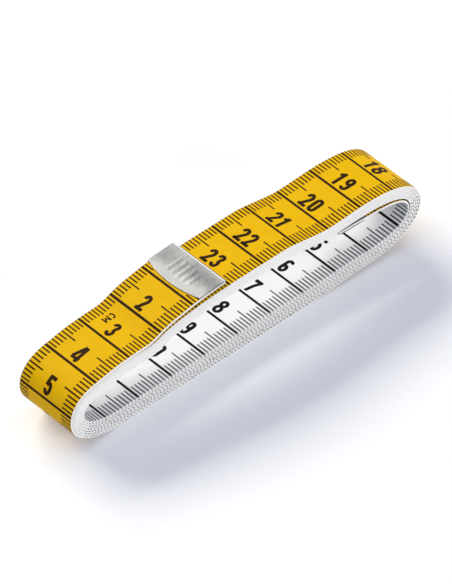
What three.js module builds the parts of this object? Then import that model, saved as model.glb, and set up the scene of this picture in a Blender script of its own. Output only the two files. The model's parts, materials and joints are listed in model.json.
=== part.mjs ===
// A cloth tape measure, wound by hand into a long flat loop that lies on its bottom run.
// Millimetres, +Z up: X runs along the loop, Y across the tape, and the origin is on the
// surface under the middle of the loop. The yellow face is outside and the white one inside.
import * as THREE from 'three';

// The tape: two coatings on a woven core. The layers are thinner than the real ones, so that
// the turns stay clear of each other in a roll of the real bulk.
const tapeLength = 1500;
const tapeWidth = 16.8;
const yellowThickness = 0.07;
const coreThickness = 0.07;
const whiteThickness = 0.07;
const turnGap = 0.42;

// The outline of the roll, seen from the front
const loopLength = 106.6;
const leftNoseHeight = 9.55;
const rightNoseHeight = 10.5;
const leftFootInset = 16.3;
const rightFootInset = 37.3;
const heelInset = 16.3;
const heelHeight = 1;
const shoulderInset = 8;
const shoulderHeight = 17.35;
const shoulderSlope = 0.124;
const crownInset = 44.3;
const crownHeight = 21.65;
const dipInset = 29.9;
const dipHeight = 19.4;
const bumpInset = 17.4;
const bumpHeight = 19.7;

// How square each stretch of the outline bends, as a share of its run
const crownFullness = 0.58;
const leftTopFullness = 0.55;
const leftFootFullness = 0.61;
const heelFullness = 0.4;
const rightFootFullness = 0.595;
const rightTopFullness = 0.645;
const dipFullness = 0.42;

// The free ends: where the outer one lies, how each stands off the roll, and where it flexes
const seamRun = 15;
const climbRun = 34;
const outerEndLength = 30;
const outerEndSkew = 1;
const innerEndLength = 16;
const innerEndDroop = 0.8;
const flexGap = 0.3;

// The clips: sheet metal folded over each end of the tape, with a bowed edge on the tape's side
const clipReach = 8.4;
const clipBow = 1.5;
const clipSheet = 0.25;
const clipClearance = 0.05;
const clipSeatGap = 0.3;

// Steps along each free end of the tape, and across a clip, along its plates and round its fold
const endSteps = 12;
const clipAcrossSteps = 12;
const clipPlateSteps = 4;
const clipFoldSteps = 6;

const tapeThickness = yellowThickness + coreThickness + whiteThickness;
const yellowSide = tapeThickness / 2;
const coreTop = yellowSide - yellowThickness;
const coreBottom = coreTop - coreThickness;
const whiteSide = -tapeThickness / 2;
const pitch = tapeThickness + turnGap;

// The outline is a loop of stretches between knots, walked from the crown to the left and round
function knot(x, z, wayX, wayZ) {
  return { at: new THREE.Vector2(x, z), way: new THREE.Vector2(wayX, wayZ).normalize() };
}

function bend(start, end, fullness) {
  const run = end.at.clone().sub(start.at);
  const leave = start.at.clone().addScaledVector(start.way, fullness * run.dot(start.way));
  const arrive = end.at.clone().addScaledVector(end.way, -fullness * run.dot(end.way));
  return new THREE.CubicBezierCurve(start.at, leave, arrive, end.at);
}

const leftNoseX = -loopLength / 2;
const rightNoseX = loopLength / 2;
const crown = knot(rightNoseX - crownInset, crownHeight, -1, 0);
const shoulder = knot(leftNoseX + shoulderInset, shoulderHeight, -1, -shoulderSlope);
const leftNose = knot(leftNoseX, leftNoseHeight, 0, -1);
const leftFoot = knot(leftNoseX + leftFootInset, 0, 1, 0);
const rightFoot = knot(rightNoseX - rightFootInset, 0, 1, 0);
const heel = knot(rightNoseX - heelInset, heelHeight, 1, 0);
const rightNose = knot(rightNoseX, rightNoseHeight, 0, 1);
const bump = knot(rightNoseX - bumpInset, bumpHeight, -1, 0);
const dip = knot(rightNoseX - dipInset, dipHeight, -1, 0);

const stretches = [
  { curve: bend(crown, shoulder, crownFullness), steps: 8 },
  { curve: bend(shoulder, leftNose, leftTopFullness), steps: 8 },
  { curve: bend(leftNose, leftFoot, leftFootFullness), steps: 8 },
  { curve: new THREE.LineCurve(leftFoot.at, rightFoot.at), steps: 1 },
  { curve: bend(rightFoot, heel, heelFullness), steps: 3 },
  { curve: bend(heel, rightNose, rightFootFullness), steps: 8 },
  { curve: bend(rightNose, bump, rightTopFullness), steps: 8 },
  { curve: bend(bump, dip, dipFullness), steps: 2 },
  { curve: bend(dip, crown, dipFullness), steps: 3 },
];

// The stops are where every turn of the wound strip has a cross-section
const stops = [];
let loopRun = 0;
for (const stretch of stretches) {
  stretch.start = loopRun;
  stretch.length = stretch.curve.getLength();
  for (let step = 0; step < stretch.steps; step += 1) {
    stops.push(loopRun + (stretch.length * step) / stretch.steps);
  }
  loopRun += stretch.length;
}

function outlineAt(run) {
  const around = THREE.MathUtils.euclideanModulo(run, loopRun);
  const stretch = stretches.findLast((one) => one.start <= around);
  const share = Math.min((around - stretch.start) / stretch.length, 1);
  const way = stretch.curve.getTangentAt(share);
  return { at: stretch.curve.getPointAt(share), way, out: new THREE.Vector2(way.y, -way.x) };
}

// Each turn lies one pitch inside the last one, and dives under it along the climb
function windingDepth(run) {
  const turn = Math.floor(run / loopRun);
  const climb = THREE.MathUtils.smoothstep(run - turn * loopRun, 0, climbRun);
  return pitch * (turn - 1 + climb);
}

// The outer end stands off the roll by what its clip needs, and the inner end droops
const outerEndLift = clipSeatGap + clipSheet + clipClearance - turnGap;

function tapeMiddle(run, endRun) {
  const { at, way, out } = outlineAt(run + seamRun);
  const lift = outerEndLift * Math.max(1 - run / outerEndLength, 0);
  const droop = innerEndDroop * Math.max(1 - (endRun - run) / innerEndLength, 0);
  const inward = windingDepth(run) + tapeThickness / 2 - lift + droop;
  return { run, at: at.addScaledVector(out, -inward), way, out };
}

// The route holds the middle of the tape at every stop, with the length of tape used so far
function windRoute(endRun) {
  const route = [{ ...tapeMiddle(0, endRun), used: 0 }];
  for (let turn = 0; route.at(-1).used < tapeLength; turn += 1) {
    for (const stop of stops) {
      const run = stop - seamRun + turn * loopRun;
      if (run > 0) {
        const last = route.at(-1);
        const next = tapeMiddle(run, endRun);
        route.push({ ...next, used: last.used + next.at.distanceTo(last.at) });
      }
    }
  }
  return route;
}

function runAt(route, used) {
  const after = Math.max(route.findIndex((stop) => stop.used > used), 1);
  const from = route[after - 1];
  const to = route[after];
  const share = (used - from.used) / (to.used - from.used);
  return from.run + share * (to.run - from.run);
}

const endRun = runAt(windRoute(Infinity), tapeLength);
const route = windRoute(endRun);

// A point of the tape: used is the length from the outer end, off the height above its middle.
// Past either end of the tape the point runs straight on.
function tapePoint(used, across, off) {
  const onTape = THREE.MathUtils.clamp(used, 0, tapeLength);
  const { at, way, out } = tapeMiddle(runAt(route, onTape), endRun);
  const place = at.addScaledVector(way, used - onTape).addScaledVector(out, off);
  const skew = outerEndSkew * Math.max(1 - used / outerEndLength, 0);
  return new THREE.Vector3(place.x, across + skew, place.y);
}

// A closed body through rings of like points; the profile is a ring's flat shape, for its ends
function loft(rings, profile) {
  const count = profile.length;
  const index = [];
  for (let ring = 0; ring + 1 < rings.length; ring += 1) {
    for (let side = 0; side < count; side += 1) {
      const near = ring * count + side;
      const beside = ring * count + ((side + 1) % count);
      index.push(near, beside + count, beside, near, near + count, beside + count);
    }
  }
  const lastRing = (rings.length - 1) * count;
  for (const [a, b, c] of THREE.ShapeUtils.triangulateShape(profile, [])) {
    index.push(a, b, c, lastRing + c, lastRing + b, lastRing + a);
  }
  const positions = rings.flat().flatMap((point) => point.toArray());
  const geometry = new THREE.BufferGeometry();
  geometry.setAttribute('position', new THREE.Float32BufferAttribute(positions, 3));
  geometry.setIndex(index);
  geometry.computeVertexNormals();
  return geometry;
}

// Where a stretch of tape has its cross-sections: at the stops of the winding, or in even steps
function windingSections(from, to) {
  const between = route.map((stop) => stop.used).filter((used) => used > from && used < to);
  return [from, ...between, to];
}

function evenSections(from, to) {
  const sections = [];
  for (let step = 0; step <= endSteps; step += 1) {
    sections.push(THREE.MathUtils.lerp(from, to, step / endSteps));
  }
  return sections;
}

// One layer of the tape through its cross-sections, between two heights off the tape's middle
function tapeLayer(sections, outer, inner) {
  const half = tapeWidth / 2;
  const profile = [
    new THREE.Vector2(-half, inner),
    new THREE.Vector2(half, inner),
    new THREE.Vector2(half, outer),
    new THREE.Vector2(-half, outer),
  ];
  const rings = sections.map((used) =>
    profile.map((corner) => tapePoint(used, corner.x, corner.y)),
  );
  return loft(rings, profile);
}

// A clip is a folded plate round the tape's end; lengthAt turns a distance from that end into
// a length of tape, and side is the way across in which the rings run
function clip(lengthAt, side) {
  const inside = tapeThickness / 2 + clipClearance;
  const outside = inside + clipSheet;
  const rings = [];
  let profile = [];
  for (let step = 0; step <= clipAcrossSteps; step += 1) {
    const share = (2 * step) / clipAcrossSteps - 1;
    const reach = clipReach + clipBow * (1 - share * share);
    profile = [];
    for (let plate = clipPlateSteps; plate >= 0; plate -= 1) {
      profile.push(new THREE.Vector2((reach * plate) / clipPlateSteps, outside));
    }
    for (let fold = 1; fold < clipFoldSteps; fold += 1) {
      const angle = (Math.PI * fold) / clipFoldSteps;
      profile.push(new THREE.Vector2(-outside * Math.sin(angle), outside * Math.cos(angle)));
    }
    for (let plate = 0; plate <= clipPlateSteps; plate += 1) {
      profile.push(new THREE.Vector2((reach * plate) / clipPlateSteps, -outside));
    }
    for (let plate = clipPlateSteps; plate > 0; plate -= 1) {
      profile.push(new THREE.Vector2((reach * plate) / clipPlateSteps, -inside));
    }
    profile.push(new THREE.Vector2(-clipClearance, -inside));
    profile.push(new THREE.Vector2(-clipClearance, inside));
    for (let plate = 1; plate <= clipPlateSteps; plate += 1) {
      profile.push(new THREE.Vector2((reach * plate) / clipPlateSteps, inside));
    }
    const across = (side * share * tapeWidth) / 2;
    rings.push(profile.map((point) => tapePoint(lengthAt(point.x), across, point.y)));
  }
  return loft(rings, profile);
}

// Materials
const yellowVinyl = new THREE.MeshStandardMaterial({ color: 0xf0c01c, roughness: 0.5, metalness: 0 });
const whiteVinyl = new THREE.MeshStandardMaterial({ color: 0xeeeeee, roughness: 0.5, metalness: 0 });
const wovenGlass = new THREE.MeshStandardMaterial({ color: 0xe4dfd0, roughness: 0.8, metalness: 0 });
const brightSteel = new THREE.MeshStandardMaterial({ color: 0xc8cbd0, roughness: 0.3, metalness: 1 });

// The three layers of one stretch of tape, as separate pieces
function tapeStretch(name, sections) {
  const stretch = new THREE.Group();
  const layers = [
    { face: 'yellow_face', outer: yellowSide, inner: coreTop, material: yellowVinyl },
    { face: 'woven_core', outer: coreTop, inner: coreBottom, material: wovenGlass },
    { face: 'white_face', outer: coreBottom, inner: whiteSide, material: whiteVinyl },
  ];
  for (const { face, outer, inner, material } of layers) {
    const mesh = new THREE.Mesh(tapeLayer(sections, outer, inner), material);
    mesh.name = `${name}_${face}`;
    stretch.add(mesh);
  }
  return stretch;
}

// The least room between two turns, measured from every stop to the far stretches of the route
function leastTurnGap() {
  const flat = (stop) => new THREE.Vector3(stop.at.x, 0, stop.at.y);
  const nearest = new THREE.Vector3();
  let least = Infinity;
  for (const stop of route) {
    const here = flat(stop);
    for (let next = 1; next < route.length; next += 1) {
      if (Math.abs(route[next].used - stop.used) > loopRun / 2) {
        const piece = new THREE.Line3(flat(route[next - 1]), flat(route[next]));
        piece.closestPointToPoint(here, true, nearest);
        least = Math.min(least, nearest.distanceTo(here) - tapeThickness);
      }
    }
  }
  return least;
}

console.log(`least gap between turns: ${leastTurnGap().toFixed(3)} mm`);

const outerFlex = outerEndLength;
const innerFlex = tapeLength - innerEndLength;

const roll = tapeStretch('roll', windingSections(outerFlex + flexGap / 2, innerFlex - flexGap / 2));

const outerEnd = tapeStretch('outer_end', evenSections(0, outerFlex - flexGap / 2));
const outerClip = new THREE.Mesh(clip((reach) => reach, -1), brightSteel);
outerClip.name = 'outer_clip';
outerEnd.add(outerClip);

const innerEnd = tapeStretch('inner_end', evenSections(innerFlex + flexGap / 2, tapeLength));
const innerClip = new THREE.Mesh(clip((reach) => tapeLength - reach, 1), brightSteel);
innerClip.name = 'inner_clip';
innerEnd.add(innerClip);

const tapeMeasure = new THREE.Group();
tapeMeasure.add(roll, outerEnd, innerEnd);

export default tapeMeasure;
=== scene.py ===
"""A wound cloth tape measure: the plied tape, its printed scales, two folded end clips and the stage."""

import json
import math

import bpy
import numpy as np
from bpy.props import FloatProperty, FloatVectorProperty, IntProperty, PointerProperty
from mathutils import Matrix, Vector

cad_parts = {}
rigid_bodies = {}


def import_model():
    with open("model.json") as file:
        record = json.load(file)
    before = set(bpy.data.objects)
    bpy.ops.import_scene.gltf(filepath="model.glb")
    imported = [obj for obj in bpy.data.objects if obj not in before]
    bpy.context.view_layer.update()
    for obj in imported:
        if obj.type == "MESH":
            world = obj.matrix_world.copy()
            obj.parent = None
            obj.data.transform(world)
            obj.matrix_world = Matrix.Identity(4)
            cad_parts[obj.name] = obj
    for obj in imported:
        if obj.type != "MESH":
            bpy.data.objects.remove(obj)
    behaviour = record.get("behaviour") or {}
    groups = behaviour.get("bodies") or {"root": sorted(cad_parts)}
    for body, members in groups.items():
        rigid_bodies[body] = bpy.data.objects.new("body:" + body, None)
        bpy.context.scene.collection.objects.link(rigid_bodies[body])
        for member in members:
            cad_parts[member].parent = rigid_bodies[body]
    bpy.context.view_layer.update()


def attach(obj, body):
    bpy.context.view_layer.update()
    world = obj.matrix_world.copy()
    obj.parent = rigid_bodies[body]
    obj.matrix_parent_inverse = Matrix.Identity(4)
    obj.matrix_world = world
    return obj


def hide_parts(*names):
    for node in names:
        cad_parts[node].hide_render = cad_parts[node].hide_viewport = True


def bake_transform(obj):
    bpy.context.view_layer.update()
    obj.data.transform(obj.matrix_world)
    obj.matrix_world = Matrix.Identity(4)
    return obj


bl_info = {
    "name": "Cloth tape measure",
    "version": (1, 0, 0),
    "blender": (4, 5, 0),
    "location": "View3D > Sidebar > Tape",
    "description": "Winds a printed cloth tape, folds its end clips and sets the stage",
    "category": "Object",
}

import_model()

# Names of the tape's three stretches, as the bodies that they follow
ROLL = "roll"
OUTER = "outer_end"
INNER = "inner_end"

# Steps along the tape's line and its plies, and the number of steps from knot to knot of the loop
PATH_STEP = 0.00025
STRIP_STEP = 0.0005
CURVE_STEPS = 60

# The line is laid for more turns than the tape has
TURNS_LAID = 7.2

# Waves in a loose turn: how many there are round it, and their shift from turn to turn
TURN_WAVES = ((3, 1.7), (8, 2.9))

# Waves in the tape's edge: their length for each radian, and their start
EDGE_WAVES = ((0.0173, 0), (0.0311, 1))

# The scales
CENTIMETRE = 0.01
MILLIMETRE = 0.001
TICKS = 10

# Sharpest edge that is shaded smooth, in degrees
SMOOTH_EDGE = 40


# The kinds of values that a user may change


def size(label, about, metres):
    """A length."""
    return FloatProperty(
        name=label, description=about, default=metres, unit="LENGTH", subtype="DISTANCE", precision=5
    )


def share(label, about, part):
    """A share from nothing to the whole."""
    return FloatProperty(name=label, description=about, default=part, min=0, max=1, subtype="FACTOR")


def colour(label, about, red, green, blue):
    """A colour."""
    return FloatVectorProperty(
        name=label, description=about, default=(red, green, blue), size=3, min=0, max=1, subtype="COLOR"
    )


def number(label, about, value, unit="NONE"):
    """A number, with a unit or without."""
    return FloatProperty(name=label, description=about, default=value, unit=unit)


def angle(label, about, degrees):
    """An angle."""
    return FloatProperty(
        name=label, description=about, default=math.radians(degrees), unit="ROTATION", subtype="ANGLE"
    )


class LoopShape(bpy.types.PropertyGroup):
    """The outline of the outermost turn, seen from the front."""

    length: size("Loop length", "From the left nose to the right nose", 0.10666)
    left_nose: size("Left nose height", "Height of the leftmost point", 0.00955)
    right_nose: size("Right nose height", "Height of the rightmost point", 0.0105)
    left_foot: size("Left foot inset", "From the left nose to where the loop lies flat", 0.0163)
    right_foot: size("Right foot inset", "From the right nose to where the loop lies flat", 0.0373)
    heel_inset: size("Heel inset", "From the right nose to the heel", 0.0163)
    heel_height: size("Heel height", "How far the heel stands off the ground", 0.001)
    shoulder_inset: size("Shoulder inset", "From the left nose to the shoulder", 0.008)
    shoulder_height: size("Shoulder height", "Height of the shoulder", 0.01735)
    shoulder_slope: number("Shoulder slope", "Fall of the loop at its shoulder for each unit of run", 0.124)
    sag_inset: size("Sag inset", "From the left nose to where the upper run sags", 0.0243)
    sag_depth: size("Sag depth", "How far the upper run sags there", 0.00085)
    swell_inset: size("Swell inset", "From the left nose to where the upper run swells", 0.0137)
    swell_height: size("Swell height", "How far the upper run swells there", 0.00035)
    ripple_width: size("Ripple width", "Half the width of the sag and of the swell", 0.0035)
    crown_inset: size("Crown inset", "From the right nose to the highest point", 0.042)
    crown_height: size("Crown height", "Height of the highest point", 0.02165)
    dip_inset: size("Dip inset", "From the right nose to the dip", 0.0287)
    dip_height: size("Dip height", "Height of the dip", 0.01975)
    bump_inset: size("Bump inset", "From the right nose to the bump", 0.0174)
    bump_height: size("Bump height", "Height of the bump", 0.0201)
    fullness: FloatVectorProperty(
        name="Fullness",
        description="How full each bend is, from the crown round by the left",
        default=(0.58, 0.55, 0.61, 1 / 3, 0.4, 0.595, 0.645, 0.42, 0.22),
        size=9,
    )


class TapeSizes(bpy.types.PropertyGroup):
    """The tape, its plies and how it is wound."""

    length: size("Tape length", "Full length of the tape", 1.50115)
    width: size("Tape width", "Width of the tape", 0.0173)
    thickness: size("Tape thickness", "All plies together", 0.0005)
    yellow_coat: size("Yellow coat", "Thickness of the yellow ply", 0.00004)
    yellow_margin: size("Yellow margin", "From the tape's edges to those of the yellow ply", 0.00017)
    white_coat: size("White coat", "Thickness of the white ply", 0.0001)
    spacing: FloatVectorProperty(
        name="Spacing",
        description="From turn to turn at each bend, from the crown round by the left",
        default=(0.000505, 0.00062, 0.00059, 0.0007, 0.00071, 0.00059, 0.000555, 0.00055, 0.00051),
        size=9,
        unit="LENGTH",
    )
    turn_gap: size("Turn gap", "Between loose turns", 0.00005)
    loose_thickness: size("Loose thickness", "The most that loose plies swell to", 0.00065)
    slack: share("Slack", "How far a loose turn wanders in its gap", 0.3)
    seam_run: size("Seam run", "From the crown to the free outer end, along the loop", 0.0173)
    climb_run: size("Climb run", "Over which a turn climbs onto the one before", 0.034)
    end_step: size("End step", "How far the free end stands over the turn under it", 0.00063)
    end_lift: size("End lift", "How much further the clip lifts it", 0.00018)
    outer_end: size("Outer end", "From the free end to its flex line", 0.03)
    outer_skew: size("Outer skew", "How far the free end has slid back", 0.0009)
    inner_end: size("Inner end", "From the inner end to its flex line", 0.016)
    inner_loose: size("Inner loose run", "From the inner end to where it leaves the roll", 0.028)
    inner_fall: size("Inner fall", "Over which the inner end comes off the roll", 0.018)
    inner_droop: size("Inner droop", "How far the inner end hangs off the roll", 0.0009)
    inner_rise: size("Inner rise", "How far its tip bends back to the roll", 0.0005)
    outer_gap: size("Outer gap", "How much further the outermost turn stands off", 0.00008)
    side_step: size("Side step", "How far the tape has slid back where the free end starts", 0.0001)
    side_run: size("Side run", "Over which the tape comes forward again", 0.07)
    side_spread: size("Side spread", "How far the innermost turn stands behind the outermost", 0.0002)
    side_wander: size("Side wander", "How far a turn's edge wanders", 0.00004)
    flex_behind: size("Flex behind", "How far a free end's bend reaches into the roll", 0.003)
    flex_ahead: size("Flex ahead", "How far a free end's bend reaches from the roll", 0.009)


class PrintSizes(bpy.types.PropertyGroup):
    """The two printed scales."""

    white_zero: size("White zero", "Along the tape, where the scale on the white face starts", 1.50222)
    line: size("Line", "Width of a centimetre line", 0.00066)
    tick: size("Tick", "Width of a millimetre tick", 0.00037)
    white_tick: size("White tick", "Width of a tick on the white face", 0.00032)
    tick_front: size("Front tick", "Length of a tick at the front edge", 0.0034)
    tick_back: size("Back tick", "Length of a tick at the back edge", 0.0029)
    five_front: size("Front five tick", "Length of every fifth tick at the front edge", 0.0053)
    five_back: size("Back five tick", "Length of every fifth tick at the back edge", 0.0047)
    white_longer: size("White longer", "How much longer the front ticks on the white face are", 0.0002)
    yellow_number: size("Yellow numbers", "Height of the numbers on the yellow face", 0.00475)
    white_number: size("White numbers", "Height of the numbers on the white face", 0.00465)
    number_gap: size("Number gap", "From a centimetre line to the foot of its number", 0.0008)
    number_shift: size("Number shift", "How far the numbers stand behind the tape's middle", 0.00036)
    white_shift: size("White shift", "How much further back longer numbers on the white face stand", 0.00038)
    unit_height: size("Unit height", "Height of the letters of the unit", 0.00195)
    unit_gap: size("Unit gap", "From a centimetre line to the start of the unit", 0.00675)
    unit_shift: size("Unit shift", "How far the unit's foot stands behind the tape's middle", 0.00475)
    unit_tick: size("Unit tick", "Length of the back tick beside the unit", 0.0032)
    bleed: size("Bleed", "How far the ink runs over the cut edges where the white face looks up", 0.0002)
    bleed_share: share("Bleed share", "Width of the ink on the cut edges, as a share of the mark's", 0.9)
    white_margin: size("White margin", "From the tape's edges to the marks on the white face", 0.00012)
    film: size("Film", "How far the ink stands off the face", 0.000014)
    sink: size("Sink", "How far the ink reaches into the face", 0.00001)


class ClipSizes(bpy.types.PropertyGroup):
    """The folded sheet metal clips on the ends."""

    reach: size("Reach", "How far a clip covers the tape at its edges", 0.0078)
    bow: size("Bow", "How much further a clip covers the tape in its middle", 0.0014)
    sheet: size("Sheet", "Thickness of the metal", 0.00025)
    clearance: size("Clearance", "Between the metal and the tape", 0.00003)
    ribs: IntProperty(name="Ribs", description="Pressed ribs on the upper plate", default=5, min=0)
    rib_length: size("Rib length", "Length of a rib along the tape", 0.0036)
    rib_width: size("Rib width", "Width of a rib", 0.0004)
    rib_pitch: size("Rib pitch", "From one rib to the next", 0.0017)
    rib_height: size("Rib height", "How far a rib stands off the plate", 0.00005)
    edge: size("Edge", "Rounding of the metal's edges", 0.00005)


class Finishes(bpy.types.PropertyGroup):
    """The colours."""

    yellow: colour("Yellow", "The yellow face", 0.845, 0.504, 0.003)
    yellow_shade: colour("Yellow shade", "Darker clouds in the yellow face", 0.78, 0.436, 0.002)
    white: colour("White", "The white face", 0.83, 0.835, 0.855)
    white_shade: colour("White shade", "Darker clouds in the white face", 0.8, 0.805, 0.825)
    edge: colour("Cut edge", "The woven core where the tape is cut", 0.87, 0.87, 0.855)
    edge_shade: colour("Fibre", "Fibres in the cut edge", 0.79, 0.79, 0.775)
    brown_ink: colour("Ink on yellow", "The scale on the yellow face", 0.02, 0.008, 0.0006)
    black_ink: colour("Ink on white", "The scale on the white face", 0.005, 0.005, 0.006)
    metal: colour("Metal", "The clips", 0.335, 0.34, 0.355)
    floor: colour("Floor", "The ground", 0.94, 0.94, 0.94)


class StageSettings(bpy.types.PropertyGroup):
    """The camera and the light."""

    azimuth: angle("Azimuth", "Where the camera stands round the part", -42.126)
    elevation: angle("Elevation", "How high the camera stands", 43.454)
    roll: angle("Roll", "How far the camera is tipped", -0.41)
    distance: size("Distance", "From the camera to the part", 1.832658)
    lens: number("Lens", "Focal length", 500, "CAMERA")
    aim_right: size("Aim right", "How far the part stands right of the picture's middle", -0.004035)
    aim_up: size("Aim up", "How far the part stands above the picture's middle", -0.009363)
    aim_start: size("Aim start", "Along the part, where the aim is measured from", -0.0045)
    key: number("Key", "Power of the lamp behind the part", 94, "POWER")
    key_width: size("Key width", "Its width", 2.6)
    key_height: size("Key height", "Its height", 0.95)
    key_colour: colour("Key colour", "Its colour", 1, 0.96, 0.83)
    fill: number("Fill", "Power of the lamp before the part", 25, "POWER")
    fill_width: size("Fill width", "Its width", 1.5)
    fill_height: size("Fill height", "Its height", 1.2)
    fill_colour: colour("Fill colour", "Its colour", 1, 0.98, 0.94)
    front: number("Front", "Power of the lamp over the camera, for the part alone", 20, "POWER")
    front_width: size("Front width", "Its width", 1.5)
    front_height: size("Front height", "Its height", 1.2)
    front_colour: colour("Front colour", "Its colour", 1, 0.98, 0.94)
    sky: number("Sky", "Strength of the light from all round", 0.355)
    sky_colour: colour("Sky colour", "Its colour", 0.72, 0.77, 1)
    floor_lift: number("Floor lift", "How far the ground is lifted to white", 0.23)
    lift_colour: colour("Lift colour", "Colour of the lift", 0.86, 0.9, 1)


def smooth(t):
    """Eases a share from 0 to 1."""
    t = np.clip(t, 0, 1)
    return t * t * (3 - 2 * t)


def loop_outline(loop):
    """Points of the outermost turn, from the crown round by the left, and each knot's place among them."""
    left, right = -loop.length / 2, loop.length / 2
    knots = (
        ((right - loop.crown_inset, loop.crown_height), (-1, 0)),
        ((left + loop.shoulder_inset, loop.shoulder_height), (-1, -loop.shoulder_slope)),
        ((left, loop.left_nose), (0, -1)),
        ((left + loop.left_foot, 0), (1, 0)),
        ((right - loop.right_foot, 0), (1, 0)),
        ((right - loop.heel_inset, loop.heel_height), (1, 0)),
        ((right, loop.right_nose), (0, 1)),
        ((right - loop.bump_inset, loop.bump_height), (-1, 0)),
        ((right - loop.dip_inset, loop.dip_height), (-1, 0)),
    )
    points = []
    t = np.linspace(0, 1, CURVE_STEPS, endpoint=False)[:, None]
    for index, full in enumerate(loop.fullness):
        (start, way_in), (end, way_out) = knots[index], knots[(index + 1) % len(knots)]
        start, end = np.array(start), np.array(end)
        way_in, way_out = np.array(way_in), np.array(way_out)
        way_in, way_out = way_in / np.hypot(*way_in), way_out / np.hypot(*way_out)
        reach = end - start
        first = start + way_in * full * (reach @ way_in)
        second = end - way_out * full * (reach @ way_out)
        points.append(
            (1 - t) ** 3 * start + 3 * (1 - t) ** 2 * t * first + 3 * (1 - t) * t**2 * second + t**3 * end
        )
    points.append(np.array([knots[0][0]]))
    line = np.concatenate(points)
    upper = line[:, 1] > loop.crown_height / 2
    for inset, rise in ((loop.sag_inset, -loop.sag_depth), (loop.swell_inset, loop.swell_height)):
        line[upper, 1] += rise * np.exp(-(((line[upper, 0] - left - inset) / loop.ripple_width) ** 2))
    return line, np.arange(len(knots) + 1) * CURVE_STEPS


def run_along(line):
    """The length along a line, from its start to each of its points."""
    return np.concatenate([[0], np.cumsum(np.hypot(*np.diff(line)))])


class WoundTape:
    """The tape's middle line, from its free outer end to its inner end."""

    def __init__(self, scene):
        loop, tape = scene.tape_loop, scene.tape_sizes
        self.tape = tape
        rim, knots = loop_outline(loop)
        rim_run = run_along(rim.T)
        way = np.gradient(rim, rim_run, axis=0)
        around = rim_run[-1]
        run = np.arange(0, TURNS_LAID * around, PATH_STEP)
        turn = np.floor(run / around)
        within = run - turn * around
        base = (run + tape.seam_run) % around
        spacing = np.interp(base, rim_run[knots], [*tape.spacing, tape.spacing[0]])
        climb = smooth(within / tape.climb_run)
        thick = np.clip(spacing - tape.turn_gap, tape.thickness, tape.loose_thickness)
        room = np.clip(spacing - thick, 0, None) * np.sin(math.pi * within / around) ** 2
        wave = sum(np.sin(math.tau * count * base / around + shift * turn) for count, shift in TURN_WAVES)
        depth = spacing * (turn - 1 + climb) + 0.5 * tape.slack * room * wave
        depth += tape.outer_gap * np.sin(math.pi * within / around) ** 6
        lifted = tape.end_step * (1 - climb) + tape.end_lift * np.clip(1 - run / tape.outer_end, 0, 1)
        depth = np.where(turn < 1, -lifted, depth) + thick / 2
        start, heading = (np.stack([np.interp(base, rim_run, row) for row in rows.T]) for rows in (rim, way))
        heading /= np.hypot(*heading)
        inward = np.stack([-heading[1], heading[0]])
        left_over = tape.length - run_along(start + inward * depth)
        depth += tape.inner_droop * smooth((tape.inner_loose - left_over) / tape.inner_fall)
        depth -= tape.inner_rise * smooth(1 - left_over / (tape.inner_loose - tape.inner_fall))
        middle = start + inward * depth
        used = run_along(middle)
        line_way = np.gradient(middle, PATH_STEP, axis=1)
        line_way /= np.hypot(*line_way)
        side = tape.side_step * smooth(1 - (used - tape.outer_end) / tape.side_run)
        side += tape.side_wander * sum(np.sin(used / wide + shift) for wide, shift in EDGE_WAVES)
        side += tape.side_spread * used / tape.length
        side += tape.outer_skew * np.clip(1 - used / tape.outer_end, 0, 1)
        self.used = used
        self.rows = (middle[0], middle[1], line_way[1], -line_way[0], side, thick / tape.thickness)

    def place(self, used, across, height):
        """Points at a length along the tape, a place across it and a height over its middle."""
        x, z, out_x, out_z, side, swell = (np.interp(used, self.used, row) for row in self.rows)
        off = height * swell
        return np.stack(np.broadcast_arrays(x + out_x * off, across + side, z + out_z * off), axis=-1)

    def stretches(self):
        """Each stretch of the tape, by the body that it follows, with its first and last length."""
        tape = self.tape
        outer_last = tape.outer_end + tape.flex_behind
        inner_first = tape.length - tape.inner_end - tape.flex_behind
        return {OUTER: (0, outer_last), ROLL: (outer_last, inner_first), INNER: (inner_first, tape.length)}

    def follow(self, piece, body):
        """Makes a piece of the roll's stretch move with the roll; a piece of a free end only has its place
        baked into its mesh.
        """
        tape = self.tape
        if body == ROLL:
            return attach(piece, ROLL)
        flex, way = (tape.outer_end, 1) if body == OUTER else (tape.length - tape.inner_end, -1)
        bend = (flex + way * tape.flex_behind, flex - way * tape.flex_ahead)
        start, end = (Vector(self.place(used, 0, 0)) for used in bend)
        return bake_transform(piece)


def sweep_faces(rows, closed=False):
    """Faces of a bar of four-cornered rows, open with two end faces or closed on itself."""
    faces = []
    for row in range(rows if closed else rows - 1):
        here, there = 4 * row, 4 * ((row + 1) % rows)
        for corner in range(4):
            after = (corner + 1) % 4
            faces.append((here + corner, there + corner, there + after, here + after))
    if not closed:
        last = 4 * (rows - 1)
        faces.append((0, 1, 2, 3))
        faces.append((last + 3, last + 2, last + 1, last))
    return np.array(faces)


def bar_corners(start, end, low, high):
    """The places across and the heights of a bar's four corners."""
    return np.array([start, end, end, start]), np.array([low, low, high, high])


def new_piece(name, points, faces):
    """A mesh piece from points and faces."""
    mesh = bpy.data.meshes.new(name)
    mesh.from_pydata(points.reshape(-1, 3).tolist(), [], faces.tolist())
    mesh.update()
    piece = bpy.data.objects.new(name, mesh)
    bpy.context.collection.objects.link(piece)
    return piece


def pick(piece):
    """Selects one piece and nothing else, and makes it the active one."""
    bpy.ops.object.select_all(action="DESELECT")
    piece.select_set(True)
    bpy.context.view_layer.objects.active = piece


def enter(mode):
    """Goes to edit mode or object mode."""
    bpy.ops.object.mode_set(mode=mode)


def smooth_shade(piece):
    """Smooths the shading of a piece, but for its sharp edges."""
    pick(piece)
    bpy.ops.object.shade_smooth_by_angle(angle=math.radians(SMOOTH_EDGE))


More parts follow.
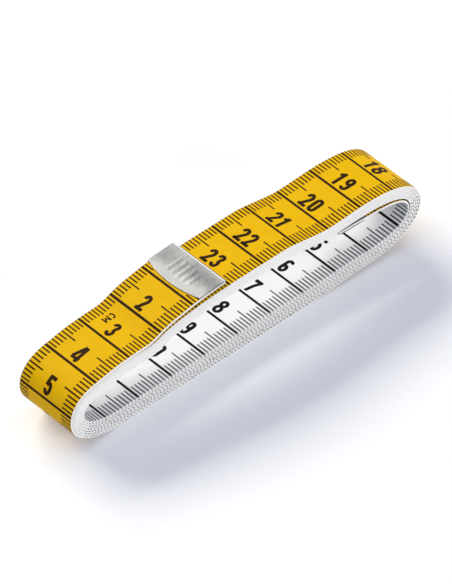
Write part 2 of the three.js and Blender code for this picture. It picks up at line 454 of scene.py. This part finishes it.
def add_node(tree, kind, inputs=None, **settings):
    """A shader node with its settings and inputs, each input a value or another node's output."""
    made = tree.nodes.new("ShaderNode" + kind)
    for name, value in settings.items():
        setattr(made, name, value)
    for name, value in (inputs or {}).items():
        if isinstance(value, bpy.types.NodeSocket):
            tree.links.new(value, made.inputs[name])
        else:
            made.inputs[name].default_value = value
    return made


def maths(tree, operation, first, second=0.0, third=0.0):
    """The result of an operation on one, two or three values."""
    return add_node(tree, "Math", {0: first, 1: second, 2: third}, operation=operation).outputs[0]


def weighed(tree, value, weight, base):
    """A base, with a value added by its weight."""
    return maths(tree, "MULTIPLY_ADD", value, weight, base)


# What a finish puts out: the name and kind of each output, and the input of the shader that it feeds
SURFACE = (
    ("Colour", "Color", "Base Color"),
    ("Roughness", "Float", "Roughness"),
    ("Normal", "Vector", "Normal"),
)


def new_group(name, *colours):
    """An empty node group that takes colours and puts out a finish, and what its input node gives."""
    group = bpy.data.node_groups.new(name, "ShaderNodeTree")
    for label in colours:
        group.interface.new_socket(label, in_out="INPUT", socket_type="NodeSocketColor")
    for label, kind, _ in SURFACE:
        group.interface.new_socket(label, in_out="OUTPUT", socket_type="NodeSocket" + kind)
    return group, group.nodes.new("NodeGroupInput").outputs


def end_group(group, *results):
    """Joins a colour, a roughness and a normal to the group's outputs."""
    out = group.nodes.new("NodeGroupOutput")
    for socket, result in zip(out.inputs, results):
        group.links.new(result, socket)
    return group


def mixed(tree, amount, first, second):
    """A colour between two colours."""
    return add_node(tree, "Mix", {0: amount, 6: first, 7: second}, data_type="RGBA").outputs[2]


def brightened(tree, tone, times):
    """A colour made brighter, or darker by a share."""
    return add_node(tree, "HueSaturation", {"Color": tone, "Value": times}).outputs[0]


def bumped(tree, height, strength, distance):
    """A normal that follows a height."""
    inputs = {"Strength": strength, "Distance": distance, "Height": height}
    return add_node(tree, "Bump", inputs).outputs[0]


def noise(tree, vector, scale, detail=2.0):
    """A soft random value over a surface."""
    return add_node(tree, "TexNoise", {"Vector": vector, "Scale": scale, "Detail": detail}).outputs["Fac"]


def stretched(tree, vector, x, y, z):
    """Coordinates stretched along their axes."""
    return add_node(tree, "VectorMath", {0: vector, 1: (x, y, z)}, operation="MULTIPLY").outputs[0]


# From one thread of the weave to the next
THREAD_PITCH = 0.0006


def coat_group(name):
    """Coated cloth: faint clouds of colour, a fine grain and the weave showing through."""
    group, given = new_group(name, "Colour", "Shade")
    along = add_node(group, "UVMap", uv_map="tape").outputs[0]
    clouds = noise(group, along, scale=260, detail=3)
    grain = noise(group, along, scale=4200)
    parts = add_node(group, "SeparateXYZ", {0: along}).outputs
    turns = [maths(group, "MULTIPLY", parts[axis], math.tau / THREAD_PITCH) for axis in (0, 1)]
    weave = maths(group, "MULTIPLY", *(maths(group, "SINE", turn) for turn in turns))
    normal = bumped(group, weighed(group, weave, weight=0.25, base=grain), strength=0.25, distance=0.00002)
    tint = maths(group, "SUBTRACT", weighed(group, grain, weight=0.5, base=clouds), 0.35)
    rough = weighed(group, grain, weight=0.2, base=0.45)
    made = mixed(group, tint, given["Colour"], given["Shade"])
    return end_group(group, made, rough, normal)


def edge_group(name):
    """Cut cloth: fibres along the edge and the ends of threads."""
    group, given = new_group(name, "Colour", "Fibre")
    along = add_node(group, "UVMap", uv_map="tape").outputs[0]
    fibres = noise(group, stretched(group, along, 0.12, 1, 1), scale=9000)
    threads = noise(group, along, scale=1600)
    amount = maths(group, "SUBTRACT", weighed(group, threads, weight=0.6, base=fibres), 0.45)
    normal = bumped(group, fibres, strength=0.3, distance=0.00002)
    made = mixed(group, amount, given["Colour"], given["Fibre"])
    rough = weighed(group, threads, weight=0.15, base=0.55)
    return end_group(group, made, rough, normal)


def ink_group(name):
    """Printed ink, a little uneven."""
    group, given = new_group(name, "Colour")
    place = add_node(group, "TexCoord").outputs["Object"]
    patches = noise(group, place, scale=1500)
    lighter = brightened(group, given["Colour"], times=2.2)
    normal = bumped(group, patches, strength=0.1, distance=0.00001)
    rough = weighed(group, patches, weight=0.2, base=0.35)
    made = mixed(group, maths(group, "MULTIPLY", patches, 0.6), given["Colour"], lighter)
    return end_group(group, made, rough, normal)


# On a clip's flat sheet: the band of painted shade beside the fold, its growth to the front, and how sharp
# the painted highlight on the fold is
SHADE_BAND_WIDTH = 0.0058
SHADE_BAND_GROWTH = 35
HIGHLIGHT_SHARPNESS = 4000


def metal_group(name):
    """Rolled sheet metal: grain, cloudy wear, a band of painted shade beside the fold and a painted
    highlight on the fold.
    """
    group, given = new_group(name, "Colour")
    place = add_node(group, "TexCoord").outputs["Object"]
    rolling = noise(group, stretched(group, place, 0.45, 1, 0.45), scale=3600, detail=3)
    clouds = noise(group, place, scale=200, detail=3)
    grain = noise(group, place, scale=2600, detail=3)
    normal = bumped(group, weighed(group, grain, weight=0.8, base=rolling), strength=0.6, distance=0.00006)
    rough = weighed(group, clouds, weight=0.3, base=0.34)
    # A darker tone, used both for the random wear and for the painted shade band
    darker = brightened(group, given["Colour"], times=0.28)
    flat = add_node(group, "SeparateXYZ", {0: add_node(group, "UVMap", uv_map="sheet").outputs[0]}).outputs
    # Painted shade: a darker band beside the fold, growing towards the front
    band = maths(group, "SINE", maths(group, "MULTIPLY", flat[0], math.pi / SHADE_BAND_WIDTH))
    front = weighed(group, flat[1], weight=SHADE_BAND_GROWTH, base=0.5)
    # Painted highlight: a bright line along the fold
    fold = weighed(group, flat[0], weight=-HIGHLIGHT_SHARPNESS, base=1.7)
    # The colour of the painted highlight on the fold
    brighter = brightened(group, given["Colour"], times=2)
    # Random wear from clouds and rolling grain, with the painted shade band added to it
    wear_and_painted_shade = weighed(group, clouds, weight=0.7, base=maths(group, "MULTIPLY", rolling, 0.9))
    wear_and_painted_shade = weighed(group, maths(group, "MULTIPLY", band, front), weight=0.7, base=wear_and_painted_shade)
    made = mixed(group, maths(group, "SUBTRACT", wear_and_painted_shade, 0.55), given["Colour"], darker)
    # The painted highlight laid over the fold
    made = mixed(group, fold, made, brighter)
    return end_group(group, made, rough, normal)


def group_material(name, group, *colours, metallic=0.0, gloss=0.5):
    """A material from a node group, which is made once, and the colours that it takes."""
    material = bpy.data.materials.new(name)
    material.use_nodes = True
    tree = material.node_tree
    surface = tree.nodes["Principled BSDF"]
    made = tree.nodes.new("ShaderNodeGroup")
    made.node_tree = bpy.data.node_groups.get(group.__name__) or group(group.__name__)
    for socket, value in zip(made.inputs, colours):
        socket.default_value = (*value, 1)
    for label, _, socket in SURFACE:
        tree.links.new(made.outputs[label], surface.inputs[socket])
    surface.inputs["Metallic"].default_value = metallic
    surface.inputs["Specular IOR Level"].default_value = gloss
    return material


def tape_materials(finish):
    """The materials of the three plies, from the yellow face to the white one."""
    yellow, white = (finish.yellow, finish.yellow_shade), (finish.white, finish.white_shade)
    return {
        "yellow_face": group_material("yellow_coat", coat_group, *yellow, gloss=0.05),
        "woven_core": group_material("cut_weave", edge_group, finish.edge, finish.edge_shade, gloss=0.05),
        "white_face": group_material("white_coat", coat_group, *white, gloss=0.1),
    }


def tape_strip(wound, name, first, last, half, low, high):
    """One ply of a stretch, with its half width, from one height over the tape's middle to another."""
    used = np.linspace(first, last, math.ceil((last - first) / STRIP_STEP) + 1)
    across, height = bar_corners(-half, half, low, high)
    piece = new_piece(name, wound.place(used[:, None], across, height), sweep_faces(len(used)))
    layer = piece.data.uv_layers.new(name="tape")
    flat = np.stack(np.broadcast_arrays(used[:, None], across + height), axis=-1).reshape(-1, 2)
    corners = np.zeros(len(piece.data.loops), np.int32)
    piece.data.loops.foreach_get("vertex_index", corners)
    layer.data.foreach_set("uv", flat[corners].astype(np.float32).ravel())
    smooth_shade(piece)
    return piece


class TAPE_OT_wind(bpy.types.Operator):
    """Wind the three plies of the tape, parted at the two free ends"""

    bl_idname = "tape.wind"
    bl_label = "Wind the tape"

    def execute(self, context):
        wound = WoundTape(context.scene)
        tape = wound.tape
        materials = tape_materials(context.scene.tape_finish)
        half, top, bottom = tape.width / 2, tape.thickness / 2, -tape.thickness / 2
        plies = {
            "yellow_face": (half - tape.yellow_margin, top - tape.yellow_coat, top, "yellow_vinyl"),
            "woven_core": (half, bottom + tape.white_coat, top - tape.yellow_coat, "woven_glass"),
            "white_face": (half, bottom, bottom + tape.white_coat, "white_vinyl"),
        }
        for body, (first, last) in wound.stretches().items():
            for ply, (reach, low, high, slot) in plies.items():
                piece = tape_strip(wound, f"tape_{body}_{ply}", first, last, reach, low, high)
                piece.data.materials.append(materials[ply])
                wound.follow(piece, body)
                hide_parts(f"{body}_{ply}")
        return {"FINISHED"}


# Steps of a digit's arcs, in degrees, the longest step of its lines, and the gap under which points are one
ARC_STEP = 18
LINE_STEP = 0.1
NO_GAP = 1e-6


def arc(x, y, wide, tall, start, end):
    """Points of part of an ellipse, from one angle to another in degrees."""
    steps = max(3, math.ceil(abs(end - start) / ARC_STEP))
    turn = np.radians(np.linspace(start, end, steps + 1))
    return np.stack([x + wide * np.cos(turn), y + tall * np.sin(turn)], axis=-1)


def path(*parts):
    """Points and arcs as one line of short steps."""
    line = np.concatenate([np.atleast_2d(part) for part in parts])
    kept = [line[0]]
    for point in line[1:]:
        gap = np.hypot(*(point - kept[-1]))
        if gap > NO_GAP:
            steps = math.ceil(gap / LINE_STEP)
            kept.extend(kept[-1] + (point - kept[-1]) * k / steps for k in range(1, steps + 1))
    return np.array(kept)


def pen(*parts):
    """An open stroke through points and arcs."""
    return path(*parts), False


# Digits are strokes of one width in a box one unit high
STROKE = 0.185
UNIT_STROKE = 0.2
DIGIT_WIDTH = 0.465
DIGIT_STEP = 0.56
UNIT_STEP = 0.72
UNIT_NUMBER = 3
NEAR, FAR = STROKE / 2, DIGIT_WIDTH - STROKE / 2
MIDDLE = DIGIT_WIDTH / 2
BOWL = (FAR - NEAR) / 2
FOOT, HEAD = STROKE / 2, 1 - STROKE / 2


def digit_strokes():
    """The strokes of each digit and of the unit's letters, as lines and whether each closes on itself."""
    cap = arc(MIDDLE, HEAD - 0.17, BOWL, 0.17, 0, 180)
    base = arc(MIDDLE, FOOT + 0.17, BOWL, 0.17, 180, 360)
    six_bowl = arc(MIDDLE, 0.3, BOWL, 0.3 - FOOT, 0, 360)[:-1]
    six_stem = path((NEAR, 0.3), (NEAR, 0.72), arc(MIDDLE, 0.74, BOWL, HEAD - 0.74, 180, 15))
    turned = np.array([DIGIT_WIDTH, 1.0])
    return {
        "0": [(path(cap, base), True)],
        "1": [pen((0.24, 0), (0.24, 1)), pen((0.26, 0.95), (0.04, 0.72))],
        "2": [
            pen(arc(MIDDLE, 0.695, BOWL, HEAD - 0.695, 180, -38), (NEAR + 0.01, 0.04)),
            pen((0, FOOT), (DIGIT_WIDTH, FOOT)),
        ],
        "3": [
            pen(arc(MIDDLE - 0.005, 0.745, BOWL - 0.01, HEAD - 0.745, 185, -90)),
            pen(arc(MIDDLE, 0.3, BOWL, 0.3 - FOOT, 95, -175)),
        ],
        "4": [
            pen((0.27, 1), (0, 0.22)),
            pen((-0.04, 0.2), (DIGIT_WIDTH, 0.2)),
            pen((0.34, 1), (0.34, 0)),
        ],
        "5": [
            pen((0.02, HEAD), (DIGIT_WIDTH - 0.02, HEAD)),
            pen((NEAR + 0.02, HEAD), (NEAR, 0.47)),
            pen(arc(MIDDLE, 0.34, BOWL, 0.34 - FOOT, 150, -170)),
        ],
        "6": [(six_bowl, True), (six_stem, False)],
        "7": [
            pen((0, HEAD), (DIGIT_WIDTH, HEAD)),
            pen((NEAR - 0.01, 1), (NEAR - 0.01, 0.78)),
            pen((FAR, 0.95), (0.22, 0.5), (0.14, 0)),
        ],
        "8": [
            (arc(MIDDLE, 0.735, BOWL + 0.01, HEAD - 0.735, 0, 360)[:-1], True),
            (arc(MIDDLE, 0.3, BOWL + 0.025, 0.3 - FOOT, 0, 360)[:-1], True),
        ],
        "9": [(turned - six_bowl, True), (turned - six_stem, False)],
        "C": [pen(arc(0.3, 0.5, 0.185, 0.385, 40, 320))],
        "M": [pen((0.115, 0), (0.115, 0.9), (0.485, 0.25), (0.855, 0.9), (0.855, 0))],
    }


def ribbon(line, closed, width):
    """The two sides of a stroke."""
    if closed:
        way = np.roll(line, -1, axis=0) - np.roll(line, 1, axis=0)
    else:
        way = np.gradient(line, axis=0)
    way /= np.hypot(*way.T)[:, None]
    side = np.stack([-way[:, 1], way[:, 0]], axis=-1) * width / 2
    return line + side, line - side


# How far the yellow face may look up, and to the left, where ink has run over the cut edges
LOOKS_UP = 0.3
LOOKS_LEFT = -0.6


class Print:
    """Ink on one face of a stretch of the tape, gathered and then made one piece."""

    def __init__(self, wound, sizes, face, first, last):
        half = wound.tape.thickness / 2
        self.wound = wound
        self.face = face
        self.zero = sizes.white_zero
        self.span = (first, last)
        if face == "yellow":
            self.height = (half - sizes.sink, half + sizes.film)
        else:
            self.height = (-half - sizes.film, -half + sizes.sink)
        self.points, self.faces, self.count = [], [], 0

    def used(self, value):
        """Length along the tape of a value on this face's scale."""
        return value if self.face == "yellow" else self.zero - value

    def holds(self, value):
        """Whether a value on the scale lies on this stretch."""
        return self.span[0] <= self.used(value) < self.span[1]

    def looks_up(self, value):
        """Whether the white face looks up, or to the left, at a value on the scale."""
        out_x, out_z = (np.interp(self.used(value), self.wound.used, row) for row in self.wound.rows[2:4])
        return out_z < LOOKS_UP and out_x > LOOKS_LEFT

    def add(self, points, faces):
        """Adds a bar of ink."""
        points = points.reshape(-1, 3)
        self.points.append(points)
        self.faces.append(faces + self.count)
        self.count += len(points)

    def spill(self, value, width, bleed):
        """Ink of a mark that has run over the cut edges of the tape."""
        low, high = self.height
        half, film = self.wound.tape.width / 2, (high - low) / 2
        for edge in (-half, half):
            self.mark(value, width, edge - film, edge + film, (low, low + bleed))

    def mark(self, value, width, start, end, height=None):
        """A straight mark across the tape at a value on the scale, on the face or between two heights."""
        used = self.used(value) + np.array([[-width / 2], [width / 2]])
        corners = bar_corners(start, end, *(height or self.height))
        self.add(self.wound.place(used, *corners), sweep_faces(2))

    def write(self, strokes, width, to_tape):
        """A digit or letter, placed on the tape by a function of its flat points."""
        low, high = self.height if self.face == "yellow" else reversed(self.height)
        for line, closed in strokes:
            left, right = ribbon(line, closed, width)
            flat = np.stack([left, right, right, left], axis=1)
            used, across = to_tape(flat[..., 0], flat[..., 1])
            points = self.wound.place(used, across, np.array([low, low, high, high]))
            self.add(points, sweep_faces(len(line), closed))

    def piece(self, name):
        """The gathered ink as one piece."""
        return new_piece(name, np.concatenate(self.points), np.concatenate(self.faces))


def print_marks(ink, sizes):
    """The millimetre ticks and centimetre lines of one stretch."""
    tape, yellow = ink.wound.tape, ink.face == "yellow"
    half, five = tape.width / 2, TICKS // 2
    edge, longer, tick = half - sizes.white_margin, sizes.white_longer, sizes.white_tick
    if yellow:
        edge, longer, tick = half - tape.yellow_margin, 0, sizes.tick
    for count in range(1, round(tape.length / MILLIMETRE)):
        value = count * MILLIMETRE
        if not ink.holds(value):
            continue
        if not yellow and ink.looks_up(value):
            wide = sizes.tick if count % TICKS else sizes.line
            ink.spill(value, sizes.bleed_share * wide, sizes.bleed)
        if count % TICKS == 0:
            ink.mark(value, sizes.line, -edge, edge)
            continue
        at_front, at_back = sizes.tick_front, sizes.tick_back
        if count % five == 0:
            at_front, at_back = sizes.five_front, sizes.five_back
        if yellow and count == TICKS * UNIT_NUMBER - five:
            at_back = sizes.unit_tick
        ink.mark(value, tick, -edge, at_front + longer - half)
        ink.mark(value, tick, half - at_back, edge)


def print_numbers(ink, sizes):
    """The centimetre numbers of one stretch, each before its line."""
    strokes = digit_strokes()
    high = sizes.yellow_number if ink.face == "yellow" else sizes.white_number
    for count in range(1, round(ink.wound.tape.length / CENTIMETRE)):
        if not ink.holds(count * CENTIMETRE):
            continue
        digits = str(count)
        wide = DIGIT_STEP * (len(digits) - 1) + DIGIT_WIDTH
        shift = sizes.number_shift
        if ink.face == "white":
            shift += sizes.white_shift * (len(digits) - 1)
        for place, digit in enumerate(digits):
            start = DIGIT_STEP * place - wide / 2

            def to_tape(x, y, start=start, count=count, shift=shift):
                value = count * CENTIMETRE - sizes.number_gap - y * high
                return ink.used(value), shift - (x + start) * high

            ink.write(strokes[digit], STROKE, to_tape)


def print_unit(ink, sizes, count):
    """The unit's two letters beside a number, reading along the tape."""
    strokes = digit_strokes()
    high = sizes.unit_height
    for place, letter in enumerate("CM"):

        def to_tape(x, y, place=place):
            value = count * CENTIMETRE - sizes.unit_gap + (x + place * UNIT_STEP) * high
            return ink.used(value), sizes.unit_shift - y * high

        ink.write(strokes[letter], UNIT_STROKE, to_tape)


class TAPE_OT_print(bpy.types.Operator):
    """Print the two scales, one on each face of each stretch of the tape"""

    bl_idname = "tape.print"
    bl_label = "Print the scales"

    def execute(self, context):
        wound = WoundTape(context.scene)
        sizes, finish = context.scene.tape_print, context.scene.tape_finish
        inks = {
            "yellow": group_material("ink_on_yellow", ink_group, finish.brown_ink, gloss=0.05),
            "white": group_material("ink_on_white", ink_group, finish.black_ink, gloss=0.05),
        }
        for body, (first, last) in wound.stretches().items():
            for face, material in inks.items():
                ink = Print(wound, sizes, face, first, last)
                print_marks(ink, sizes)
                print_numbers(ink, sizes)
                if face == "yellow" and ink.holds(UNIT_NUMBER * CENTIMETRE):
                    print_unit(ink, sizes, UNIT_NUMBER)
                piece = ink.piece(f"scale_{body}_{face}")
                piece.data.materials.append(material)
                wound.follow(piece, body)
        return {"FINISHED"}


def choose(piece, test, faces=False):
    """Selects the corners, or the faces, of a piece whose middle passes a test, in edit mode."""
    bpy.ops.mesh.select_mode(type="FACE" if faces else "VERT")
    bpy.ops.mesh.select_all(action="DESELECT")
    enter("OBJECT")
    for item in piece.data.polygons if faces else piece.data.vertices:
        item.select = bool(test(item.center if faces else item.co))
    enter("EDIT")


# Steps of a clip's sheet: along and across its upper plate, round its fold and along its lower plate
UPPER_STEPS = (40, 80)
FOLD_STEPS = 10
LOWER_STEPS = 8


def flat_clip(clip, tape):
    """A clip round the end of a straight tape: a ribbed plate over it, a fold and a plain plate under it."""
    level = tape.thickness / 2 + clip.clearance + clip.sheet / 2
    bpy.ops.object.select_all(action="DESELECT")
    bpy.ops.mesh.primitive_grid_add(x_subdivisions=UPPER_STEPS[0], y_subdivisions=UPPER_STEPS[1], size=1)
    piece = bpy.context.object
    enter("EDIT")
    bpy.ops.mesh.select_all(action="SELECT")
    bpy.ops.transform.resize(value=(clip.reach, tape.width, 1))
    bpy.ops.transform.translate(value=(clip.reach / 2, 0, level))
    near = clip.reach / 1000
    choose(piece, lambda co: co.x < near)
    bpy.ops.mesh.spin(steps=FOLD_STEPS, angle=-math.pi, center=(0, 0, 0), axis=(0, 1, 0))
    choose(piece, lambda co: abs(co.x) < near and co.z < 0)
    for _ in range(LOWER_STEPS):
        bpy.ops.mesh.extrude_region_move(TRANSFORM_OT_translate={"value": (clip.reach / LOWER_STEPS, 0, 0)})
    first = -(clip.ribs - 1) / 2 * clip.rib_pitch
    middle = clip.reach / 2
    for rib in range(clip.ribs):
        across = first + rib * clip.rib_pitch
        choose(
            piece,
            lambda co, across=across: co.z > 0
            and abs(co.y - across) < clip.rib_width / 2
            and abs(co.x - middle) < clip.rib_length / 2,
            faces=True,
        )
        bpy.ops.transform.translate(
            value=(0, 0, clip.rib_height),
            use_proportional_edit=True,
            proportional_edit_falloff="SMOOTH",
            proportional_size=clip.rib_width,
        )
    enter("OBJECT")
    for corner in piece.data.vertices:
        if corner.co.x > 0:
            v = 2 * corner.co.y / tape.width
            corner.co.x *= 1 + clip.bow * (1 - v * v) / clip.reach
    sheet = piece.modifiers.new("sheet", "SOLIDIFY")
    sheet.thickness, sheet.offset = clip.sheet, 0
    bevel = piece.modifiers.new("edge", "BEVEL")
    bevel.width, bevel.segments, bevel.limit_method = clip.edge, 2, "ANGLE"
    pick(piece)
    for modifier in (sheet, bevel):
        bpy.ops.object.modifier_apply(modifier=modifier.name)
    enter("EDIT")
    bpy.ops.mesh.select_all(action="SELECT")
    bpy.ops.mesh.normals_make_consistent(inside=False)
    enter("OBJECT")
    layer = piece.data.uv_layers.active
    layer.name = "sheet"
    for loop, flat in zip(piece.data.loops, layer.data):
        flat.uv = piece.data.vertices[loop.vertex_index].co.xy
    smooth_shade(piece)
    return piece


def placed(first, second, third, origin):
    """The matrix of three axes at a place."""
    return Matrix(((*first, 0), (*second, 0), (*third, 0), (*origin, 1))).transposed()


def end_frame(wound, end, inside):
    """A frame at an end of the tape, with its first axis into the tape and its third off the yellow face."""
    origin = Vector(wound.place(end, 0, 0))
    into = Vector(wound.place(inside, 0, 0)) - origin
    into = Vector((into.x, 0, into.z)).normalized()
    low, high = (Vector(wound.place((end + inside) / 2, 0, height)) for height in (0, 1))
    across = (high - low).cross(into).normalized()
    return placed(into, across, into.cross(across), origin)


class TAPE_OT_clips(bpy.types.Operator):
    """Fold a metal clip and fit one to each end of the tape"""

    bl_idname = "tape.clips"
    bl_label = "Fold the clips"

    def execute(self, context):
        wound = WoundTape(context.scene)
        tape, clip = wound.tape, context.scene.tape_clip
        model = flat_clip(clip, tape)
        metal = group_material("rolled_metal", metal_group, context.scene.tape_finish.metal, metallic=1)
        model.data.materials.append(metal)
        ends = {OUTER: (0, clip.reach), INNER: (tape.length, tape.length - clip.reach)}
        for body, (end, inside) in ends.items():
            pick(model)
            bpy.ops.object.duplicate()
            piece = bpy.context.object
            piece.name = piece.data.name = f"clip_{body}"
            piece.data.transform(end_frame(wound, end, inside))
            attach(piece, body)
            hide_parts(body.replace("end", "clip"))
        bpy.data.objects.remove(model)
        return {"FINISHED"}


def seen_or_mirrored(tree):
    """Whether a surface is seen by the camera, straight, in metal or through glass."""
    kinds = add_node(tree, "LightPath").outputs
    mirrored = maths(tree, "MAXIMUM", kinds["Is Glossy Ray"], kinds["Is Transmission Ray"])
    return maths(tree, "MAXIMUM", kinds["Is Camera Ray"], mirrored)


# The floor's clouds as a share of its colour, its drop under the part and its size
FLOOR_SHADE = 0.985
FLOOR_DROP = 0.00003
FLOOR_SIZE = 8


def floor_material(finish, stage):
    """Pale ground, lifted to white where it is seen and not where it lights the part."""
    material = bpy.data.materials.new("floor")
    material.use_nodes = True
    tree = material.node_tree
    tree.nodes.clear()
    place = add_node(tree, "TexCoord").outputs["Object"]
    shade = tuple(FLOOR_SHADE * part for part in finish.floor)
    tone = mixed(tree, noise(tree, place, scale=3), (*finish.floor, 1), (*shade, 1))
    ground = add_node(tree, "BsdfDiffuse", {"Color": tone})
    seen = seen_or_mirrored(tree)
    power = maths(tree, "MULTIPLY", seen, stage.floor_lift)
    lift = add_node(tree, "Emission", {"Color": (*stage.lift_colour, 1), "Strength": power})
    both = add_node(tree, "AddShader", {0: ground.outputs[0], 1: lift.outputs[0]})
    add_node(tree, "OutputMaterial", {"Surface": both.outputs[0]})
    return material


# Where the lamps stand, in metres from the part
LAMPS = {"key": (0.05, 2.44, 1.74), "fill": (0.3, -2.4, 0.6), "front": (0.3, -2, 1.7)}


def add_lamp(name, stage):
    """A flat lamp turned to the part."""
    bpy.ops.object.light_add(type="AREA", location=LAMPS[name])
    lamp = bpy.context.object
    lamp.name = name
    lamp.rotation_euler = Vector(LAMPS[name]).to_track_quat("Z", "Y").to_euler()
    lamp.data.shape = "RECTANGLE"
    lamp.data.energy = getattr(stage, name)
    lamp.data.size, lamp.data.size_y = getattr(stage, f"{name}_width"), getattr(stage, f"{name}_height")
    lamp.data.color = getattr(stage, f"{name}_colour")
    return lamp


class TAPE_OT_stage(bpy.types.Operator):
    """Set the floor, the lamps and the camera"""

    bl_idname = "tape.stage"
    bl_label = "Set the stage"

    def execute(self, context):
        scene = context.scene
        stage, finish = scene.tape_stage, scene.tape_finish
        bpy.ops.object.select_all(action="DESELECT")
        bpy.ops.mesh.primitive_plane_add(size=FLOOR_SIZE, location=(0, 0, -FLOOR_DROP))
        floor = context.object
        floor.name = "floor"
        floor.data.materials.append(floor_material(finish, stage))

        world = bpy.data.worlds.new("sky")
        scene.world = world
        world.use_nodes = True
        tree = world.node_tree
        tree.nodes.clear()
        seen = seen_or_mirrored(tree)
        tone = mixed(tree, seen, (*stage.sky_colour, 1), (1, 1, 1, 1))
        power = add_node(tree, "Mix", {0: seen, 2: stage.sky, 3: 1.0}).outputs[0]
        sky = add_node(tree, "Background", {"Color": tone, "Strength": power})
        add_node(tree, "OutputWorld", {"Surface": sky.outputs[0]})

        lamps = {name: add_lamp(name, stage) for name in LAMPS}
        lit = bpy.data.collections.new("lit by the front lamp")
        for piece in scene.objects:
            if piece.type == "MESH" and piece != floor:
                lit.objects.link(piece)
        lamps["front"].light_linking.receiver_collection = lit

        around, up = stage.azimuth, stage.elevation
        back = Vector((math.sin(around) * math.cos(up), -math.cos(around) * math.cos(up), math.sin(up)))
        level = Vector((math.cos(around), math.sin(around), 0))
        rise = back.cross(level)
        right = level * math.cos(stage.roll) + rise * math.sin(stage.roll)
        above = rise * math.cos(stage.roll) - level * math.sin(stage.roll)
        place = back * stage.distance - right * stage.aim_right - above * stage.aim_up
        place.x += stage.aim_start
        bpy.ops.object.camera_add()
        camera = context.object
        camera.name = "camera"
        camera.matrix_world = placed(right, above, back, place)
        camera.data.sensor_width = 36
        camera.data.lens = stage.lens
        camera.data.clip_start, camera.data.clip_end = 0.05, 20
        scene.camera = camera
        scene.view_settings.view_transform = "Standard"
        return {"FINISHED"}


class TAPE_PT_panel(bpy.types.Panel):
    """Sizes, colours and steps of the tape measure"""

    bl_label = "Tape measure"
    bl_idname = "TAPE_PT_panel"
    bl_space_type = "VIEW_3D"
    bl_region_type = "UI"
    bl_category = "Tape"

    def draw(self, context):
        for step in STEPS:
            self.layout.operator(step.bl_idname)
        for name, kind in GROUPS.items():
            box = self.layout.box()
            box.label(text=kind.__doc__)
            for label in kind.__annotations__:
                box.prop(getattr(context.scene, name), label)


STEPS = (TAPE_OT_wind, TAPE_OT_print, TAPE_OT_clips, TAPE_OT_stage)
GROUPS = {
    "tape_loop": LoopShape,
    "tape_sizes": TapeSizes,
    "tape_print": PrintSizes,
    "tape_clip": ClipSizes,
    "tape_finish": Finishes,
    "tape_stage": StageSettings,
}


def register():
    """Adds the groups, operators and panel to Blender."""
    for kind in (*GROUPS.values(), *STEPS, TAPE_PT_panel):
        bpy.utils.register_class(kind)
    for name, kind in GROUPS.items():
        setattr(bpy.types.Scene, name, PointerProperty(type=kind))


def unregister():
    """Takes them out again."""
    for name in GROUPS:
        delattr(bpy.types.Scene, name)
    for kind in reversed((*GROUPS.values(), *STEPS, TAPE_PT_panel)):
        bpy.utils.unregister_class(kind)


def main():
    """Builds the part and the stage."""
    register()
    bpy.ops.tape.wind()
    bpy.ops.tape.print()
    bpy.ops.tape.clips()
    bpy.ops.tape.stage()


if __name__ == "__main__":
    main()
